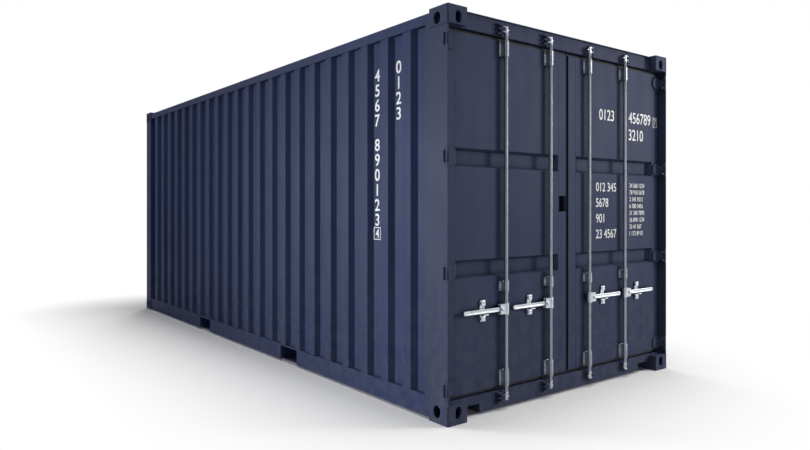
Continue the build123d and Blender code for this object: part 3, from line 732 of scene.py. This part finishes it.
def frameWelds():  # at the keepers, at the lugs and between castings and posts
    runs = []
    for low, high in lumps("cam_keepers"):
        face = low.x + weldLook["lift"]
        for y in (low.y, high.y):
            runs.append(weldRun((face, y, low.z), (face, y, high.z)))
        for z in (low.z, high.z):
            runs.append(weldRun((face, low.y, z), (face, high.y, z)))
    for low, high in lugBoxes:
        outside = low.y if low.y < 0 else high.y
        outside -= math.copysign(weldLook["lift"], outside)
        runs.append(weldRun((low.x, outside, low.z), (low.x, outside, high.z)))
    postLow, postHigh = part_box("rear_corner_posts")
    inset = weldLook["castingInset"]
    for low, high in lumps("corner_castings"):
        outside = postLow.y if low.y < 0 else postHigh.y
        level = high.z if low.z < cadBox[1][2] / 2 else low.z
        runs.append(weldRun((low.x + inset, outside, level), (high.x - inset, outside, level)))
    dress(joinAll(runs), "frameWelds", frameNavy, "container_body")


for side in sides:
    leafWelds(side)
frameWelds()
print("welds laid")


# screws in the floor boards
screwLook = {"radius": 0.007, "tall": 0.0014, "sunk": 0.0012, "spacing": 0.3, "edge": 0.04, "across": 5}


def floorScrews():
    places = []
    for low, high in lumps("floor"):
        count = int((high.x - low.x) // screwLook["spacing"])
        step = (high.x - low.x - 2 * screwLook["edge"]) / count
        gap = (high.y - low.y - 2 * screwLook["edge"]) / (screwLook["across"] - 1)
        for number in range(count + 1):
            for line in range(screwLook["across"]):
                places.append((low.x + screwLook["edge"] + number * step,
                               low.y + screwLook["edge"] + line * gap, high.z - screwLook["sunk"]))
    screws = repeat(button(screwLook["radius"], screwLook["tall"], 10, 0.25, "z"), places)
    dress(screws, "floorScrews", zinc, "container_body")


floorScrews()
print("floor screws made")


# plain white numbers, painted on the long side and on the right door
markLook = {
    "thick": 0.0006,
    "capHeight": 0.69,  # of the font's size
    "foldDepth": 0.03,  # from the crests of the wall to its inner flats
    "frameSize": (1.9, 1.5), "frameLine": 0.09,  # of the digit inside
    "sideForm": (1.05, 0.018),  # width of a digit, and how far its strokes grow for each unit of size
    "doorForm": (0.84, 0.008),
    "boxedSize": 0.72,  # of the run's other digits
    "space": 0.64,  # of one step down the run
    "sideRuns": (("0123", 2.478, 2.335, 0.105, 0.082), ("4567 8901234", 2.228, 2.315, 0.106, 0.082)),
    "doorRows": (("0123", 0.385, 2.015, 0.082), ("456789", 0.772, 2.018, 0.086),
                 ("3210", 0.772, 1.88, 0.086), ("012 345", 0.345, 1.465, 0.066),
                 ("5678", 0.345, 1.345, 0.066), ("901", 0.345, 1.225, 0.066),
                 ("23 4567", 0.345, 1.105, 0.066)),  # digits, across, height, size
    "boxed": (("7", 1.132, 2.022, 0.055),),
    "smallRows": ("34 560 1234", "78 910 5678", "2 345 9012", "6 780 3456",
                  "31 240 7890", "56 890 1234", "33 41 567", "1 172 89 01"),
    "smallPlace": (0.785, 1.5, 0.055, 0.034),  # across, height of the first, spacing, size
}


def numberMesh(text, tall, form):  # digits lying in XY, their low left corner at the origin
    deselectAll()
    bpy.ops.object.text_add()
    digits = bpy.context.object
    digits.data.body = text
    digits.data.size = tall / markLook["capHeight"]
    digits.data.extrude = markLook["thick"] / 2
    digits.data.offset = tall * form[1]
    bpy.ops.object.convert(target="MESH")
    piece = bpy.context.object
    low = Vector(map(min, zip(*[vertex.co for vertex in piece.data.vertices])))
    piece.location = -low
    settle(piece)
    piece.scale = (form[0], 1, 1)
    return settle(piece)


def digitFrame(wide, tall):  # a thin square lying in XY round a digit
    deselectAll()
    bpy.ops.mesh.primitive_plane_add(size=1, location=(wide / 2, tall / 2, 0))
    piece = bpy.context.object
    piece.scale = (wide * markLook["frameSize"][0], tall * markLook["frameSize"][1], 1)
    settle(piece)
    editFaces(piece, lambda face: True)
    bpy.ops.mesh.inset(thickness=tall * markLook["frameLine"])
    bpy.ops.mesh.delete(type="FACE")
    bpy.ops.object.mode_set(mode="OBJECT")
    return modify(piece, "SOLIDIFY", thickness=markLook["thick"], offset=1)


def meshWidth(piece):
    return max(vertex.co.x for vertex in piece.data.vertices)


def sideNumbers():
    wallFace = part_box("left_side_wall")[0].y + markLook["foldDepth"]
    pieces = []
    for text, x, top, pitch, tall in markLook["sideRuns"]:
        for number, digit in enumerate(text):
            if digit == " ":
                top -= pitch * markLook["space"]
                continue
            boxed = " " in text and number == len(text) - 1  # the last of the long run stands in a square
            tall *= markLook["boxedSize"] if boxed else 1
            piece = numberMesh(digit, tall, markLook["sideForm"])
            wide = meshWidth(piece)
            group = [piece]
            if boxed:
                group.append(digitFrame(wide, tall))
            for each in group:
                each.rotation_euler = (math.pi / 2, 0, 0)
                each.location = (x - wide / 2, wallFace, top - tall)
                pieces.append(settle(each))
            top -= pitch
    dress(joinAll(pieces), "sideNumbers", white, "container_body")


def doorNumbers():
    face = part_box("right_door_panel")[1].x
    across, first, spacing, small = markLook["smallPlace"]
    rows = [*markLook["doorRows"], *markLook["boxed"]]
    for number, text in enumerate(markLook["smallRows"]):
        rows.append((text, across, first - spacing * number, small))
    pieces = []
    for row in rows:
        text, y, z, tall = row
        piece = numberMesh(text, tall, markLook["doorForm"])
        group = [piece]
        if row in markLook["boxed"]:
            group.append(digitFrame(meshWidth(piece), tall))
        for each in group:
            each.rotation_euler = (math.pi / 2, 0, math.pi / 2)
            each.location = (face, y, z)
            pieces.append(settle(each))
    dress(joinAll(pieces), "doorNumbers", white, "right_door")


sideNumbers()
doorNumbers()
print("numbers painted")


# floor, world, lights and camera
stageLook = {"floorTone": 0.92, "bounceTone": 0.46, "fadeStart": 0.1, "fadeEnd": 1.55, "world": 0.15,
             "floorSize": 120, "floorDrop": 0.0005}


def studioFloor():  # shaded near the container, white away from it
    deselectAll()
    place = (0, 0, -stageLook["floorDrop"])
    bpy.ops.mesh.primitive_plane_add(size=stageLook["floorSize"], location=place)
    floor = bpy.context.object
    floor.name = "studioFloor"
    finish, tree, shader = startFinish("studioFloor")
    path = addNode(tree, "ShaderNodeLightPath")
    seen = mathNode(tree, "MAXIMUM", path.outputs["Is Camera Ray"], path.outputs["Is Glossy Ray"])
    tones = [(stageLook[name],) * 3 + (1,) for name in ("bounceTone", "floorTone")]
    tree.links.new(mixNode(tree, seen, *tones), shader.inputs["Base Color"])
    shader.inputs["Roughness"].default_value = 0.9
    shader.inputs["Specular IOR Level"].default_value = 0.08
    place = axesNode(tree)
    away = []
    for axis, half in (("X", cadBox[1][0]), ("Y", cadBox[1][1])):
        past = mathNode(tree, "SUBTRACT", mathNode(tree, "ABSOLUTE", place[axis]), half)
        away.append(mathNode(tree, "POWER", mathNode(tree, "MAXIMUM", past, 0.0), 2.0))
    reach = mathNode(tree, "SQRT", mathNode(tree, "ADD", *away))
    fade = rangeNode(tree, reach, (stageLook["fadeStart"], stageLook["fadeEnd"]), (0.0, 1.0))
    glow = addNode(tree, "ShaderNodeEmission", {"Color": (1, 1, 1, 1), "Strength": 1.0})
    mix = addNode(tree, "ShaderNodeMixShader")
    tree.links.new(mathNode(tree, "MULTIPLY", seen, fade), mix.inputs["Fac"])
    tree.links.new(shader.outputs["BSDF"], mix.inputs[1])
    tree.links.new(glow.outputs["Emission"], mix.inputs[2])
    below = addNode(tree, "ShaderNodeMixShader")  # clear when seen from below, and to the lamp there
    back = addNode(tree, "ShaderNodeNewGeometry").outputs["Backfacing"]
    tree.links.new(mathNode(tree, "MAXIMUM", back, path.outputs["Is Shadow Ray"]), below.inputs["Fac"])
    tree.links.new(mix.outputs["Shader"], below.inputs[1])
    tree.links.new(addNode(tree, "ShaderNodeBsdfTransparent").outputs["BSDF"], below.inputs[2])
    tree.links.new(below.outputs["Shader"], tree.nodes["Material Output"].inputs["Surface"])
    floor.data.materials.append(finish)


def whiteWorld():
    world = bpy.data.worlds.new("whiteWorld")
    bpy.context.scene.world = world
    world.use_nodes = True
    tree = world.node_tree
    back = tree.nodes["Background"]
    back.inputs["Color"].default_value = (1, 1, 1, 1)
    path = addNode(tree, "ShaderNodeLightPath")
    seen = mathNode(tree, "MAXIMUM", path.outputs["Is Camera Ray"], path.outputs["Is Glossy Ray"])
    seen = mathNode(tree, "MAXIMUM", seen, path.outputs["Is Transmission Ray"])
    level = rangeNode(tree, seen, (0.0, 1.0), (stageLook["world"], 1.0))
    tree.links.new(level, back.inputs["Strength"])


lampLook = {  # place, target, size, watts, spread, tint
    "rightLamp": ((9.5, 8.5, 3.4), (3.0, 0.4, 0.9), (3.0, 3.0), 800, 180, (1, 0.97, 0.92)),
    "leftLamp": ((-8.0, -11.0, 2.2), (6.6, -1.2, 0.4), (4.0, 3.0), 140, 34),
    "topLamp": ((2.4, 0.4, 9.0), (2.4, 0.4, 0), (8.0, 8.0), 740),
    "backLamp": ((-11.0, 4.4, 4.0), (-1.0, 0.4, 0.9), (3.0, 3.0), 420),
    "underLamp": ((0, 0, -1.6), (0, 0, 0), (5.2, 2.0), 80, 60),
}


def softLamp(name, place, target, size, watts, spread=180, tint=(1, 1, 1)):
    deselectAll()
    bpy.ops.object.light_add(type="AREA", location=place)
    lamp = bpy.context.object
    lamp.name = name
    lamp.data.shape = "RECTANGLE"
    lamp.data.size, lamp.data.size_y = size
    lamp.data.energy = watts
    lamp.data.color = tint
    lamp.data.spread = math.radians(spread)
    lamp.rotation_euler = (Vector(target) - Vector(place)).to_track_quat("-Z", "Y").to_euler()


cameraLook = {"place": (6.0417, -3.8855, 1.3414), "turn": 52.2, "lens": 29.30, "horizon": 207.48,
              "frame": (810, 450)}


def photoCamera():
    deselectAll()
    turn = (math.pi / 2, 0, math.radians(cameraLook["turn"]))
    bpy.ops.object.camera_add(location=cameraLook["place"], rotation=turn)
    camera = bpy.context.object
    camera.data.sensor_width = 36
    camera.data.lens = cameraLook["lens"]
    wide, tall = cameraLook["frame"]
    camera.data.shift_y = (cameraLook["horizon"] - tall / 2) / wide
    bpy.context.scene.camera = camera


studioFloor()
whiteWorld()
for name, lamp in lampLook.items():
    softLamp(name, *lamp)
photoCamera()
bpy.context.scene.view_settings.view_transform = "Standard"
print("stage, lamps and camera set")
